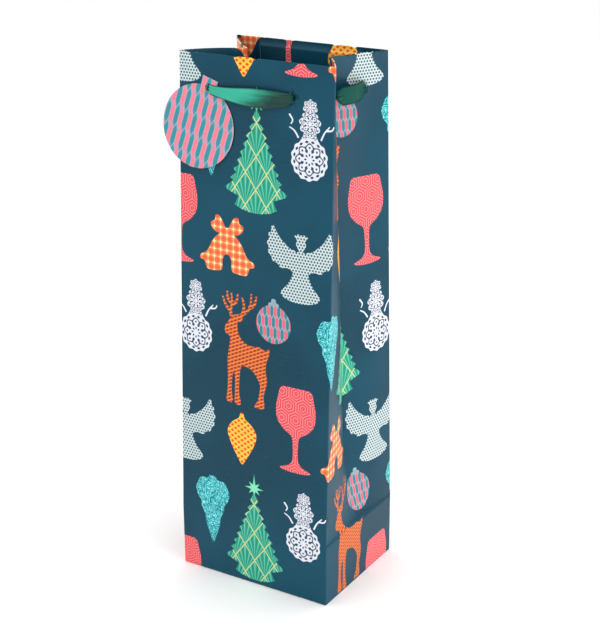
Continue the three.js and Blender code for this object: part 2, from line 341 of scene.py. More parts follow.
def glass_shapes():
    """A wine glass: a full bowl, a slim stem and a wide foot."""
    bowl = [(0, 58.6), (6, 58.6), (11.2, 57.8), (13.4, 51), (14.8, 42.5), (13.4, 34.5), (8.6, 29)]
    stem = [(3.4, 25.6), (2.1, 21.5), (1.8, 13), (2.4, 7.6), (6, 4.2), (11, 2.4)]
    foot = [(10.6, 1.1), (5, 0.2), (0, 0)]
    return [("coral", closed_curve(both_sides(bowl + stem + foot), 3))]


def bell_shapes():
    """Two leaning bells under a bow."""
    bell = [
        (1.6, 25.5), (6.5, 24.5), (11, 20), (15.2, 12.5), (20.4, 9.2), (20.6, 6.6), (17.4, 5.4),
        (15.2, 0.6), (9.6, 0.2), (4.6, 1.2), (3.4, 4), (3.4, 8.4), (1.6, 11.8), (0, 13),
    ]
    bow = [
        (0, 27.8), (2.2, 31.4), (5.6, 36.6), (8.6, 36.8), (9.4, 33.6), (12.4, 31.8), (11.6, 28.4),
        (8, 25.8), (3.2, 25.4), (0, 25.6),
    ]
    left = np.array(bell) * (-1, 1)
    return [
        ("bell", closed_curve(bell, 4)),
        ("bell", closed_curve(left[::-1], 4)),
        ("bell", closed_curve(both_sides(bow), 3)),
        ("bell", round_shape(0, 25.2, 4.4)),
        ("bell", round_shape(0, 20, 5.2)),
    ]


def angel_shapes():
    """A figure in a long robe with raised feathered wings."""
    robe = [
        (0, 33.4), (3.4, 32.6), (5.4, 27), (5.2, 21.5), (6.4, 16.6), (9.6, 11), (13.6, 6.8),
        (14.2, 4.6), (11.4, 2.0), (5.4, 0.4), (0, 0),
    ]
    wing = [
        (3.4, 32.4), (8, 34.6), (12.5, 38), (16.6, 42), (20.2, 47.8), (21.6, 46.8), (22, 43),
        (23.8, 42.4), (23.4, 38.6), (24.9, 36.4), (23.6, 33.2), (24, 30), (21.4, 27.6),
        (20.6, 24.8), (17, 23.8), (14.6, 21.2), (9.6, 21.8), (4.2, 20.4),
    ]
    left = (np.array(wing) * (-1, 1))[::-1]
    hair = [(0, 44.2), (2.6, 44.4), (4.9, 42.8), (3.2, 41.2), (3.5, 37.4), (1.7, 34.6), (0, 32.4)]
    return [
        ("wing", closed_curve(wing, 3)),
        ("wing", closed_curve(left, 3)),
        ("wing", closed_curve(both_sides(robe), 3)),
        ("wing", closed_curve(both_sides(hair), 3)),
    ]


def deer_shapes():
    """A standing deer in profile with branched antlers."""
    body = [
        (-16.4, 51.6), (-13.4, 56.4), (-10.4, 60), (-6.8, 60.4), (-6.8, 53.4), (-5.4, 47.6),
        (-1.4, 43.4), (4, 42), (10, 42.4), (14.4, 41), (17.8, 42.6), (17.2, 37.4), (15.6, 33.4),
        (15, 26.6), (16.2, 19.4), (13.6, 9.4), (14.2, 1.2), (6.6, 0.8), (9.2, 5.4), (10.4, 11),
        (10.8, 17), (6.4, 24.2), (1.4, 27), (-3.6, 26.6), (-5, 17.6), (-5.2, 8.2), (-3.8, 0.6),
        (-8.4, 0.2), (-8.4, 8.6), (-8.4, 18), (-9.4, 22.4), (-10.6, 17.6), (-11, 8.4),
        (-10.2, 0.8), (-15, 1), (-14.2, 9), (-14, 18.6), (-14.2, 30.4), (-13, 38.6),
        (-12.4, 45.6), (-15.8, 47.6),
    ]
    ear = [(-8.4, 58), (-5, 60.2), (-2.2, 60.6), (-4.6, 56.8)]
    antlers = [
        [(-11.4, 59.6), (-12, 64), (-10.8, 68.6), (-11.6, 75.4)],
        [(-11.8, 63), (-15.6, 66.4), (-18.2, 72)],
        [(-10.9, 67.6), (-7.4, 70.4), (-6.6, 75.6)],
        [(-11.2, 68.2), (-14.4, 71.6), (-14.6, 76)],
        [(-9.2, 59.6), (-4.2, 61.4), (0.2, 64.4), (3.2, 69.4), (3.8, 77)],
        [(-2.6, 62.4), (-1.8, 68.4), (-3.2, 73.4)],
        [(2, 67.2), (6, 70), (7.6, 76)],
    ]
    shapes = [("deer", closed_curve(body, 3)), ("deer", closed_curve(ear, 3))]
    return shapes + [("deer", stroke(smooth_line(a), 2.5, 1.2)) for a in antlers]


def smooth_line(points, steps=4):
    """An open smooth line through the points."""
    p = np.array(points, float)
    t = np.linspace(0, len(p) - 1, steps * (len(p) - 1) + 1)
    i = np.clip(t.astype(int), 0, len(p) - 2)
    f = (t - i)[:, None]
    slope = np.gradient(p, axis=0)
    h = f * f * (3 - 2 * f)
    a, b = p[i], p[i + 1]
    return a * (1 - h) + b * h + slope[i] * (f * (1 - f) ** 2) - slope[i + 1] * (f * f * (1 - f))


def ball_shapes():
    """A round ornament with a small cap."""
    cap = [(0, 29.8), (1.6, 29.4), (1.8, 27.4), (3.6, 26.8), (3.8, 24.6), (0, 24.2)]
    return [("grey", closed_curve(both_sides(cap), 2)), ("hex", round_shape(0, 12.8, 12.8))]


def drop_shapes():
    """A pointed ornament, widest above its middle."""
    side = [(0, 37), (1.6, 35.4), (2.6, 32.6), (7.2, 29.4), (10.8, 24.6), (11, 19.6), (8.4, 13)]
    return [("amber", closed_curve(both_sides(side + [(4.8, 6.6), (1.4, 1.2), (0, 0)]), 3))]


def cone_shapes():
    """A cone ornament with a lobed crown."""
    side = [(0, 49.8), (2.4, 49.6), (4.2, 47.2), (9.4, 46.8), (12, 42.8), (13.6, 38.6), (12.2, 33)]
    tail = [(9.6, 29.6), (9, 25), (6.4, 20), (5.4, 13.6), (3, 6.8), (1, 1), (0, 0)]
    return [("aqua", closed_curve(both_sides(side + tail), 3))]


def lace_shapes():
    """A stacked winter figure of three lace rounds with twig arms."""
    arms = [
        [(-8, 25.6), (-11, 29.6), (-14.6, 31.6)],
        [(8, 25.6), (10.4, 30.4), (14, 34.4)],
        [(-14.8, 39.4), (-12.4, 36), (-13.6, 33.4)],
        [(11.8, 31.8), (15.6, 32.4), (17, 34.6)],
    ]
    rounds = [
        ("lace", round_shape(0, 44.4, 4.8, 7, 0.09)),
        ("lace", round_shape(0, 34.6, 7.4, 9, 0.08)),
        ("lace", round_shape(0, 25.4, 5.4, 8, 0.06)),
        ("lace", round_shape(0, 13, 12.9, 14, 0.035, 84)),
    ]
    return rounds + [("pearl", stroke(smooth_line(a), 1.2, 0.7)) for a in arms]


MOTIFS = (
    (tree_shapes, (1.5, 2.5), (0.0, 0.0)),
    (lace_shapes, (39.8, 28.3), (8.5, 2.5)),
    (glass_shapes, (33.0, 90.5), (2.2, 0.0)),
    (bell_shapes, (-20.0, 217.0), (0.0, 0.0)),
    (angel_shapes, (35.0, 206.0), (4.0, 1.8)),
    (deer_shapes, (-5.0, 129.0), (0.0, 0.0)),
    (ball_shapes, (15.5, 176.0), (0.0, 0.0)),
    (drop_shapes, (-8.0, 86.7), (0.0, 0.0)),
    (cone_shapes, (-32.0, 22.5), (0.0, 0.0)),
)
PRINT_SLOTS = (
    "ground", "fir", "mint", "coral", "bell", "wing", "deer", "grey", "hex", "amber", "aqua",
    "lace", "pearl", "inside",
)


def printed_shapes(low, high):
    """Every print shape that reaches into the flat window from low to high. The pattern
    repeats in a half drop, with the copies of the column on the left a little off it.
    Each is its colour, outline, and centre and size for its fill."""
    found = []
    for make, place, nudge in MOTIFS:
        for column in range(-3, 5):
            for row in range(-3, 3):
                lift = (row - (column % 2) / 2) * REPEAT[1]
                shift = np.add(place, (column * REPEAT[0] / 2, lift))
                shift = shift + np.array(nudge) * (column == -1)
                for colour, outline in make():
                    line = outline + shift
                    if (line.max(0) < low).any() or (line.min(0) > high).any():
                        continue
                    lace = colour == "lace"
                    centre = 0.5 * (line.max(0) + line.min(0)) if lace else shift
                    size = 1.25 * np.ptp(line[:, 0]) if lace else UV_UNIT
                    found.append((colour, line, centre, size))
    return found


# ------------------------------------------------------------ printed sheet


def sheet_grid(low, high, columns, rows, creases):
    """Points of an uneven grid: evenly spread, with extra lines given by creases."""
    xs = np.unique(np.round(np.concatenate([np.linspace(low[0], high[0], columns), creases[0]]), 4))
    zs = np.unique(np.round(np.concatenate([np.linspace(low[1], high[1], rows), creases[1]]), 4))
    x, z = np.meshgrid(xs, zs)
    return np.stack([x.ravel(), z.ravel()], axis=1)


def counterclockwise(line):
    """A closed line, turned round if it runs clockwise."""
    x, y = line[:, 0], line[:, 1]
    return line if np.sum(x * np.roll(y, -1) - y * np.roll(x, -1)) > 0 else line[::-1]


def inlay(outline, grid, shapes, holes):
    """Triangulates a flat outline with the print's shapes inlaid and its holes cut, and
    gives the points, the triangles, and each triangle's shape, or -1 on the ground."""
    loops = [counterclockwise(l) for l in [outline] + [s[1] for s in shapes] + holes]
    starts = np.cumsum([len(grid)] + [len(l) for l in loops])
    points = np.concatenate([grid] + loops)
    faces = [list(range(a, b)) for a, b in zip(starts[:-1], starts[1:])]
    made = delaunay_2d_cdt([Vector(p) for p in points.tolist()], [], faces, 0, 1e-5)
    out = np.array([tuple(v) for v in made[0]])
    keep, kind = [], []
    for corners, sources in zip(made[2], made[5]):
        if 0 not in sources or any(s > len(shapes) for s in sources):
            continue
        keep.append(corners)
        kind.append(max(sources) - 1)
    tris = np.array(keep)
    a, b, c = (out[tris[:, i]] for i in range(3))
    area = (b[:, 0] - a[:, 0]) * (c[:, 1] - a[:, 1]) - (b[:, 1] - a[:, 1]) * (c[:, 0] - a[:, 0])
    tris[area < 0] = tris[area < 0][:, ::-1]
    solid = np.abs(area) > 1e-7
    used, corners = np.unique(tris[solid], return_inverse=True)
    return out[used], corners.reshape(-1, 3), np.array(kind)[solid]


def new_mesh(name, points, faces, smooth=True):
    """A mesh object at the origin from points in millimetres."""
    mesh = bpy.data.meshes.new(name)
    corners = [[int(corner) for corner in face] for face in faces]
    mesh.from_pydata((np.asarray(points) * MM).tolist(), [], corners)
    mesh.validate()
    mesh.polygons.foreach_set("use_smooth", [smooth] * len(mesh.polygons))
    mesh.update()
    piece = bpy.data.objects.new(name, mesh)
    bpy.context.scene.collection.objects.link(piece)
    return piece


def give_uv(piece, name, corners):
    """A UV map from each face corner's place in it."""
    layer = piece.data.uv_layers.new(name=name)
    layer.data.foreach_set("uv", np.asarray(corners, float).reshape(-1))


def give_thickness(piece, thickness, slots):
    """Thickness inwards from the printed face, plain paper on its other side."""
    solid = piece.modifiers.new("thickness", "SOLIDIFY")
    solid.thickness = thickness * MM
    solid.offset = -1
    solid.material_offset = slots
    solid.material_offset_rim = slots
    return solid


def printed_sheet(name, low, high, place, creases, grid_size, holes=()):
    """One printed sheet: inlaid flat, then folded into place, with each print shape's
    own centred coordinates in its UV map."""
    shapes = printed_shapes(np.array(low), np.array(high))
    grid = sheet_grid(low, high, *grid_size, creases)
    rounds = [round_shape(x, z, HOLE_RADIUS, steps=28) for x, z in holes]
    window = np.array([low, (high[0], low[1]), high, (low[0], high[1])])
    flat, tris, kind = inlay(window, grid, shapes, rounds)
    piece = new_mesh(name, place(flat), tris)
    mesh = piece.data
    colours = [0] + [PRINT_SLOTS.index(s[0]) for s in shapes]
    mesh.polygons.foreach_set("material_index", np.array(colours)[kind + 1])
    centres = np.array([(0.0, 0.0)] + [s[2] for s in shapes])[kind + 1]
    units = np.array([UV_UNIT] + [s[3] for s in shapes])[kind + 1]
    give_uv(piece, "print", 0.5 + (flat[tris] - centres[:, None, :]) / units[:, None, None])
    for slot in PRINT_SLOTS:
        mesh.materials.append(bpy.data.materials[f"print_{slot}"])
    give_thickness(piece, SHEET, len(PRINT_SLOTS))
    return piece


# ---------------------------------------------------------------- finishes


def colour(code):
    """A six-digit colour code as linear red, green, blue and 1."""
    part = np.array([int(code[i : i + 2], 16) for i in (0, 2, 4)]) / 255
    line = np.where(part <= 0.04045, part / 12.92, ((part + 0.055) / 1.055) ** 2.4)
    return (*line.tolist(), 1.0)


class Finish:
    """The node tree of one finish, built a node at a time."""

    def __init__(self, name):
        self.material = bpy.data.materials.new(name)
        self.material.use_nodes = True
        self.tree = self.material.node_tree
        self.tree.nodes.clear()
        self.shader = self.node("ShaderNodeBsdfPrincipled")
        output = self.node("ShaderNodeOutputMaterial")
        self.tree.links.new(self.shader.outputs[0], output.inputs[0])
        self.object = self.node("ShaderNodeTexCoord").outputs["Object"]

    def feed(self, socket, value):
        """Links a socket to another, or sets its value."""
        if isinstance(value, bpy.types.NodeSocket):
            self.tree.links.new(value, socket)
        else:
            socket.default_value = value

    def node(self, kind, inputs=None, **settings):
        """A node with its settings and inputs."""
        made = self.tree.nodes.new(kind)
        for key, value in settings.items():
            setattr(made, key, value)
        for key, value in (inputs or {}).items():
            self.feed(made.inputs[key], value)
        return made

    def set(self, **inputs):
        """Inputs of the shader, with spaces in their names as underscores."""
        for key, value in inputs.items():
            self.feed(self.shader.inputs[key.replace("_", " ")], value)

    def math(self, operation, *values):
        made = self.node("ShaderNodeMath", operation=operation)
        for socket, value in zip(made.inputs, values):
            self.feed(socket, value)
        return made.outputs[0]

    def vector(self, operation, *values):
        made = self.node("ShaderNodeVectorMath", operation=operation)
        for socket, value in zip(made.inputs, values):
            self.feed(socket, value)
        return made.outputs["Value" if operation in ("LENGTH", "DOT_PRODUCT") else "Vector"]

    def mix(self, share, first, second):
        """A colour between two, by a share from 0 to 1."""
        inputs = {0: share, 6: first, 7: second}
        return self.node("ShaderNodeMix", inputs, data_type="RGBA").outputs[2]

    def choose(self, share, first, second):
        """A vector between two, by a share from 0 to 1."""
        inputs = {0: share, 4: first, 5: second}
        return self.node("ShaderNodeMix", inputs, data_type="VECTOR").outputs[1]

    def noise(self, place, scale, detail=2.0, roughness=0.5):
        inputs = {"Vector": place, "Scale": scale, "Detail": detail, "Roughness": roughness}
        return self.node("ShaderNodeTexNoise", inputs).outputs[0]

    def step(self, value, start, end):
        """0 below start, 1 above end, smooth between; a start above end turns it round."""
        inputs = {"Value": value, "From Min": start, "From Max": end}
        return self.node("ShaderNodeMapRange", inputs, interpolation_type="SMOOTHSTEP").outputs[0]

    def between(self, value, low, high):
        """A value from 0 to 1 spread from low to high."""
        inputs = {"Value": value, "To Min": low, "To Max": high}
        return self.node("ShaderNodeMapRange", inputs).outputs[0]

    def xy(self, place):
        split = self.node("ShaderNodeSeparateXYZ", {0: place})
        return split.outputs[0], split.outputs[1]

    def surface(self, roughness, grain=1300.0, depth=0.02):
        """Roughness that drifts a little, and a fine grain in the bump."""
        drift = self.noise(self.object, 26, 3)
        self.set(Roughness=self.between(drift, roughness - 0.06, roughness + 0.06))
        fine = self.noise(self.object, grain, 3, 0.6)
        waves = self.noise(self.object, 34, 2, 0.45)
        height = self.math("MULTIPLY_ADD", waves, 6.0, fine)
        inputs = {"Height": height, "Distance": depth * MM, "Strength": 0.6}
        self.set(Normal=self.node("ShaderNodeBump", inputs).outputs[0])


def print_place(finish, spread=UV_UNIT):
    """Millimetres from the middle of the print shape, from the sheet's UV map."""
    uv = finish.node("ShaderNodeUVMap", uv_map="print").outputs[0]
    return finish.vector("MULTIPLY_ADD", uv, (spread,) * 3, (-spread / 2, -spread / 2, 0.0))


def hex_cells(finish, place, across, stretch=1.0):
    """A hexagonal tiling: how far a point is from its cell's middle, 1 at the edge, and
    that middle, in cells. Two rectangular grids interleave, and the nearer one wins."""
    half = (across / 2, across * math.sqrt(3) * stretch / 2, 1.0)
    back = tuple(-h for h in half)
    scale = (1 / across, 1 / (across * stretch), 0.0)
    even = finish.vector("MULTIPLY", finish.vector("WRAP", place, half, back), scale)
    shifted = finish.vector("SUBTRACT", place, half)
    odd = finish.vector("MULTIPLY", finish.vector("WRAP", shifted, half, back), scale)
    lengths = (finish.vector("LENGTH", even), finish.vector("LENGTH", odd))
    chosen = finish.choose(finish.math("LESS_THAN", *lengths), odd, even)
    near = finish.vector("ABSOLUTE", chosen)
    side = finish.vector("DOT_PRODUCT", near, (1.0, 0.0, 0.0))
    slope = finish.vector("DOT_PRODUCT", near, (0.5, math.sqrt(0.75), 0.0))
    middle = finish.vector("SUBTRACT", finish.vector("MULTIPLY", place, scale), chosen)
    return finish.math("MULTIPLY", finish.math("MAXIMUM", side, slope), 2.0), middle


def long_hexes(finish, place, across, rise, first, second, edge):
    """Long upright hexagons, rise apart by rows, in two colours that take turns along
    each row, half a cell further on in each, with thin edges between them."""
    distance, middle = hex_cells(finish, place, across, rise / across * 2 / math.sqrt(3))
    count = finish.vector("DOT_PRODUCT", middle, (1.0, 1 / math.sqrt(3), 0.0))
    turn = finish.math("FLOORED_MODULO", finish.math("ROUND", count), 2.0)
    return finish.mix(finish.step(distance, 0.8, 0.94), finish.mix(turn, first, second), edge)


def ground_print(finish):
    """The deep ground with slow mottling."""
    broad = finish.noise(finish.object, 9, 3, 0.55)
    tone = finish.mix(finish.step(broad, 0.35, 0.65), colour("00384A"), colour("004459"))
    speck = finish.noise(finish.object, 700, 2)
    return finish.mix(finish.step(speck, 0.6, 0.8), tone, colour("0A4D60"))


def fir_print(finish):
    """Fans of fine rays in the diamonds of a pale gold lattice."""
    x, y = finish.xy(print_place(finish))
    wide, tall = 15.5, 21.0
    up = finish.math("MULTIPLY_ADD", y, 1 / tall, 8.28)
    right = finish.math("FRACT", finish.math("MULTIPLY_ADD", x, 1 / wide, up))
    left = finish.math("FRACT", finish.math("MULTIPLY_ADD", x, -1 / wide, up))
    across = finish.math("MULTIPLY", finish.math("SUBTRACT", right, left), wide / 2)
    along = finish.math("MULTIPLY", finish.math("ADD", right, left), tall / 2)
    angle = finish.math("ARCTAN2", across, along)
    ray = finish.math("PINGPONG", finish.math("MULTIPLY", angle, 4.2), 0.5)
    base = finish.mix(finish.step(ray, 0.12, 0.4), colour("2FA68C"), colour("198B72"))
    base = finish.mix(finish.step(ray, 0.13, 0.05), base, colour("70C4A2"))
    edges = [finish.math("PINGPONG", e, 0.5) for e in (right, left)]
    line = finish.step(finish.math("MINIMUM", *edges), 0.04, 0.018)
    return finish.mix(line, base, colour("C9D08E"))


def mint_print(finish):
    """The plain star, a little lighter in the middle."""
    far = finish.vector("LENGTH", finish.vector("SUBTRACT", print_place(finish), (0.0, 69.0, 0.0)))
    return finish.mix(finish.step(far, 1.0, 9.0), colour("7FD9AE"), colour("4CBF8D"))


def coral_print(finish):
    """Rings of hexagons inside each other."""
    distance, _ = hex_cells(finish, print_place(finish), 10.6)
    ring = finish.math("PINGPONG", finish.math("MULTIPLY", distance, 3.0), 0.5)
    return finish.mix(finish.step(ring, 0.1, 0.26), colour("EE8A80"), colour("DC4458"))


def bell_print(finish):
    """Pale four-point stars on thin crossed lines."""
    half = (2.45, 2.45, 1.0)
    near = finish.vector("WRAP", print_place(finish), half, tuple(-h for h in half))
    x, y = finish.xy(finish.vector("ABSOLUTE", near))
    product = finish.math("MULTIPLY", x, y)
    far = finish.math("ADD", x, y)
    star = finish.math("MULTIPLY_ADD", far, 0.22, product)
    base = finish.mix(finish.step(far, 2.2, 3.8), colour("EE7F45"), colour("E25D3B"))
    return finish.mix(finish.step(star, 0.8, 0.42), base, colour("F6DCA2"))


def wing_print(finish):
    """Pale mint with staggered dark dots."""
    distance, _ = hex_cells(finish, print_place(finish), 2.2)
    return finish.mix(finish.step(distance, 0.7, 0.5), colour("C6D2D2"), colour("2C5A66"))


def deer_print(finish):
    """Burnt orange with short dark dashes, in slanting rows that step by half a dash."""
    x, y = finish.xy(print_place(finish))
    along = finish.math("MULTIPLY_ADD", x, 0.27, finish.math("MULTIPLY", y, 0.17))
    across = finish.math("MULTIPLY_ADD", x, -0.19, finish.math("MULTIPLY", y, 0.4))
    row = finish.math("FLOOR", across)
    dash = finish.math("PINGPONG", finish.math("MULTIPLY_ADD", row, 0.5, along), 0.5)
    band = finish.math("PINGPONG", across, 0.5)
    inside = finish.math("MULTIPLY", finish.step(dash, 0.17, 0.24), finish.step(band, 0.2, 0.3))
    warm = finish.mix(finish.step(band, 0.3, 0.02), colour("CE5B26"), colour("E5843F"))
    return finish.mix(inside, warm, colour("8A2E22"))


def grey_print(finish):
    """The ornament's plain cap."""
    speck = finish.noise(finish.object, 500, 2)
    return finish.mix(speck, colour("6F8F9B"), colour("9CB3B8"))


def hex_print(finish):
    """Small long hexagons."""
    place = print_place(finish)
    return long_hexes(
        finish, place, 2.6, 7.2, colour("DC6276"), colour("2A7F88"), colour("93A3B4")
    )


def amber_print(finish):
    """Yellow with red lozenges in slanting rows."""
    x, y = finish.xy(print_place(finish))
    one = finish.math("MULTIPLY_ADD", x, 0.2, finish.math("MULTIPLY", y, 0.26))
    two = finish.math("MULTIPLY_ADD", x, -0.2, finish.math("MULTIPLY", y, 0.26))
    cells = [finish.math("PINGPONG", v, 0.5) for v in (one, two)]
    mark = [finish.step(c, 0.2, 0.26) for c in cells]
    line = [finish.step(c, 0.07, 0.03) for c in cells]
    base = finish.mix(finish.math("MAXIMUM", *line), colour("F3B32F"), colour("F2D05A"))
    return finish.mix(finish.math("MULTIPLY", *mark), base, colour("E8472B"))


def aqua_print(finish):
    """Bright aqua scrolls on a darker ground."""
    place = print_place(finish)
    bend = finish.noise(place, 0.34, 0.5)
    turned = finish.math("MULTIPLY", bend, 5.0)
    line = finish.math("PINGPONG", turned, 0.5)
    base = finish.mix(finish.step(line, 0.1, 0.18), colour("1B6F80"), colour("34B4BA"))
    return finish.mix(finish.step(line, 0.4, 0.46), base, colour("9BE8E2"))


def lace_print(finish):
    """A white rosette with rings of drops, an arched line and a row of gaps cut out of
    it, all by radius and by the cosine of eight and sixteen times the angle."""
    place = print_place(finish, 2.5)
    x, y = finish.xy(place)
    far = finish.vector("LENGTH", place)
    angle = finish.math("ARCTAN2", x, y)
    eight = finish.math("COSINE", finish.math("MULTIPLY", angle, 8.0))
    sixteen = finish.math("COSINE", finish.math("MULTIPLY", angle, 16.0))

    def drops(wave, turn, middle, reach, sharp):
        """Dark drops where turn times wave is high, about a middle radius."""
        off = finish.math("ABSOLUTE", finish.math("SUBTRACT", far, middle))
        wide = finish.math("MULTIPLY_ADD", off, -1 / reach, 1.0)
        level = finish.math("MULTIPLY_ADD", wave, turn * sharp, wide)
        return finish.step(level, sharp + 0.28, sharp + 0.5)

    arch = finish.math("SUBTRACT", far, finish.math("MULTIPLY_ADD", eight, 0.07, 0.68))
    cuts = [
        drops(eight, 1.0, 0.22, 0.12, 0.5),
        drops(eight, -1.0, 0.43, 0.17, 0.6),
        drops(sixteen, 1.0, 0.56, 0.09, 0.5),
        finish.step(finish.math("ABSOLUTE", arch), 0.045, 0.025),
        drops(sixteen, -1.0, 0.84, 0.1, 0.4),
    ]
    dark = cuts[0]
    for cut in cuts[1:]:
        dark = finish.math("MAXIMUM", dark, cut)
    white = finish.mix(finish.noise(finish.object, 400, 2), colour("C9CDDA"), colour("E4E5EC"))
    return finish.mix(dark, white, colour("1C3F52"))


def pearl_print(finish):
    """The thin pale twigs."""
    speck = finish.noise(finish.object, 300, 2)
    return finish.mix(speck, colour("CFD3E2"), colour("EDEDF4"))


def inside_paper(finish):
    """The unprinted face of the paper."""
    speck = finish.noise(finish.object, 260, 4)
    return finish.mix(speck, colour("D9D8D2"), colour("EFEEE9"))


PRINTS = {
    "ground": ground_print, "fir": fir_print, "mint": mint_print, "coral": coral_print,
    "bell": bell_print, "wing": wing_print, "deer": deer_print, "grey": grey_print,
    "hex": hex_print, "amber": amber_print, "aqua": aqua_print, "lace": lace_print,
    "pearl": pearl_print, "inside": inside_paper,
}


def make_prints(roughness):
    """One finish for each colour of the print, and the paper's plain face."""
    for name in PRINT_SLOTS:
        finish = Finish(f"print_{name}")
        finish.set(Base_Color=PRINTS[name](finish), Specular_IOR_Level=0.2)
        finish.surface(0.85 if name == "inside" else roughness)


def make_satin(name, body, light, dark, gloss):
    """Woven satin with light and shade painted into its colour: a painted highlight in the
    light colour across the first half of the band, painted shade in the dark colour towards
    its far end and along its edges, with faint lengthwise threads in colour and bump."""
    finish = Finish(name)
    uv = finish.node("ShaderNodeUVMap", uv_map="band").outputs[0]
    along, across = finish.xy(uv)
    threads = finish.noise(finish.vector("MULTIPLY", uv, (5.0, 60.0, 1.0)), 1.0, 3, 0.6)
    # Painted light: the fold noise and the along and across shares only move where the painted
    # highlight and the painted shade fall on the band.
    folds = finish.noise(finish.vector("MULTIPLY", uv, (4.0, 7.0, 1.0)), 1.0, 2)
    uneven = finish.math("MULTIPLY_ADD", folds, 0.25, along)
    shifted = finish.math("MULTIPLY_ADD", across, -0.3, uneven)
    # Painted highlight: the light colour over the first half of the band.
    base = finish.mix(finish.step(shifted, 0.7, 0.35), body, light)
    # Painted shade: the dark colour towards the band's far end.
    base = finish.mix(finish.step(shifted, 0.48, 0.85), base, dark)
    # Painted shade: the dark colour along both edges of the band.
    rim = finish.math("PINGPONG", across, 0.5)
    base = finish.mix(finish.step(rim, 0.12, 0.0), base, dark)
    # Faint lighter threads, drawn in the painted highlight's colour.
    base = finish.mix(finish.step(threads, 0.5, 1.0), base, light)
    finish.set(Base_Color=base, Roughness=finish.between(threads, 0.3, 0.42))
    weft = finish.math("SINE", finish.math("MULTIPLY", along, 900.0))
    warp = finish.math("SINE", finish.math("MULTIPLY", across, 300.0))
    height = finish.math("MULTIPLY_ADD", threads, 2.0, finish.math("ADD", weft, warp))
    inputs = {"Height": height, "Distance": 0.012 * MM, "Strength": 0.4}
    finish.set(Normal=finish.node("ShaderNodeBump", inputs).outputs[0])
    finish.set(Anisotropic=0.4, Specular_IOR_Level=gloss)
    return finish.material


def make_board(name, low, high, roughness):
    """Grey-white card with long fibres and scattered flecks."""
    finish = Finish(name)
    fibres = finish.noise(finish.vector("MULTIPLY", finish.object, (0.3, 1.0, 1.6)), 420, 4, 0.7)
    fleck = finish.noise(finish.object, 900, 1)
    base = finish.mix(finish.step(fibres, 0.3, 0.7), colour(low), colour(high))
    finish.set(Base_Color=finish.mix(finish.step(fleck, 0.72, 0.8), base, colour("8E8778")))
    finish.surface(roughness, 700, 0.05)
    return finish.material


def make_tag_faces(pink, teal):
    """The tag's printed face of long hexagons, and its pale card."""
    face = Finish("tag_print")
    place = print_place(face)
    speck = face.noise(face.object, 500, 2)
    warm = face.mix(speck, pink, colour("FF8090"))
    face.set(Base_Color=long_hexes(face, place, 3.45, 13.0, warm, teal, colour("8A9BB0")))
    face.surface(0.45)
    make_board("tag_edge", "D8B7B4", "EAD2CC", 0.7)


# ------------------------------------------------------------ paper pieces


def turned(place, mirror, turn):
    """A placing function of the flat sheet made for another side of the bag: mirror
    flips x, turn is half a turn about the upright axis."""

    def placed(share, flat):
        out = place(share, flat)
        out[:, 0] *= -1 if mirror else 1
        out[:, :2] *= -1 if turn else 1
        return out

    return placed


def fold_lines(low, high):
    """Columns close to both edges of a flat piece, for its rounded corners."""
    near = np.array([0.2, 0.4, 0.6, 0.8, 1.1, 2.0])
    return np.concatenate([low + near, high - near])


def sheet_rows(first):
    """Rows at the foot's fold, the crease, under the rim, the rim's fold and the card's
    edges."""
    rim = HEIGHT - RIM_RADIUS
    arc = rim + RIM_RADIUS * np.linspace(0, math.pi, 7)
    card = [flat_inside(z) for z in (CARD_LOW[2], CARD_HIGH[2])]
    edges = np.concatenate([c + np.linspace(-CARD_EDGE, CARD_EDGE, 5) for c in card])
    foot = np.array([0.5, 0.35, 0.2, 0.0, -0.15, -0.285, -0.6])
    near_crease = CREASE + np.array([-2, -1.2, -0.6, 0.0, 0.6, 1.2, 2])
    rows = np.concatenate([arc, edges, foot, near_crease, [RIM_ROW]])
    return rows[(rows > first) & (rows < HEIGHT + HEM)]


def make_wall(name, back, flap):
    """The front or the back sheet: base flap, base wall, panel and turned-in rim."""
    middle = BACK_MIDDLE if back else 0.0

    def place(flat):
        share = (flat[:, 0] - middle) / HALF_WIDTH
        return turned(place_panel, False, back)(share, flat[:, 1])

    low, high = (middle - HALF_WIDTH, -flap), (middle + HALF_WIDTH, HEIGHT + HEM)
    holes = [(middle - x if back else x, z) for x in HOLES for z in (HOLE_Z, flat_inside(HOLE_Z))]
    near = np.linspace(-CARD_EDGE, CARD_EDGE, 5)
    cards = [middle + edge + near for edge in (CARD_LOW[0], CARD_HIGH[0])]
    columns = np.concatenate([fold_lines(low[0], high[0]), *cards])
    columns = columns[(columns > low[0]) & (columns < high[0])]
    rows = sheet_rows(low[1])
    piece = printed_sheet(name, low, high, place, (columns, rows), (26, 84), holes)
    side = "back" if back else "front"
    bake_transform(piece)
    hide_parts(f"{side}_panel", f"{side}_hem", f"base_{side}", f"base_flap_{side}")
    return piece


def make_gusset(side, end):
    """A gusset half with its turned-in rim, from the corner to the centre fold."""
    right, front = side == "right", end == "front"
    start = (1 if right else -1) * (SIDE_START if front else BACK_START)
    grows = 1 if right == front else -1

    def place(flat):
        share = np.clip((flat[:, 0] - start) * grows / HALF_DEPTH, 0, 1)
        shape = partial(place_gusset, pull=GUSSET_PULL[side])
        return turned(shape, right != front, not front)(share, flat[:, 1])

    edge = start + grows * HALF_DEPTH
    low = (min(start, edge), CREASE)
    high = (max(start, edge), HEIGHT + HEM)
    holes = [(start + grows * GUSSET_HOLE, z) for z in (HOLE_Z, flat_inside(HOLE_Z))]
    columns = fold_lines(low[0], high[0])
    rows = sheet_rows(low[1])
    name = f"{side}_{end}_gusset_sheet"
    piece = printed_sheet(name, low, high, place, (columns, rows), (16, 70), holes)
    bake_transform(piece)
    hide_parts(f"{side}_{end}_gusset", f"{side}_{end}_gusset_hem")
    return piece


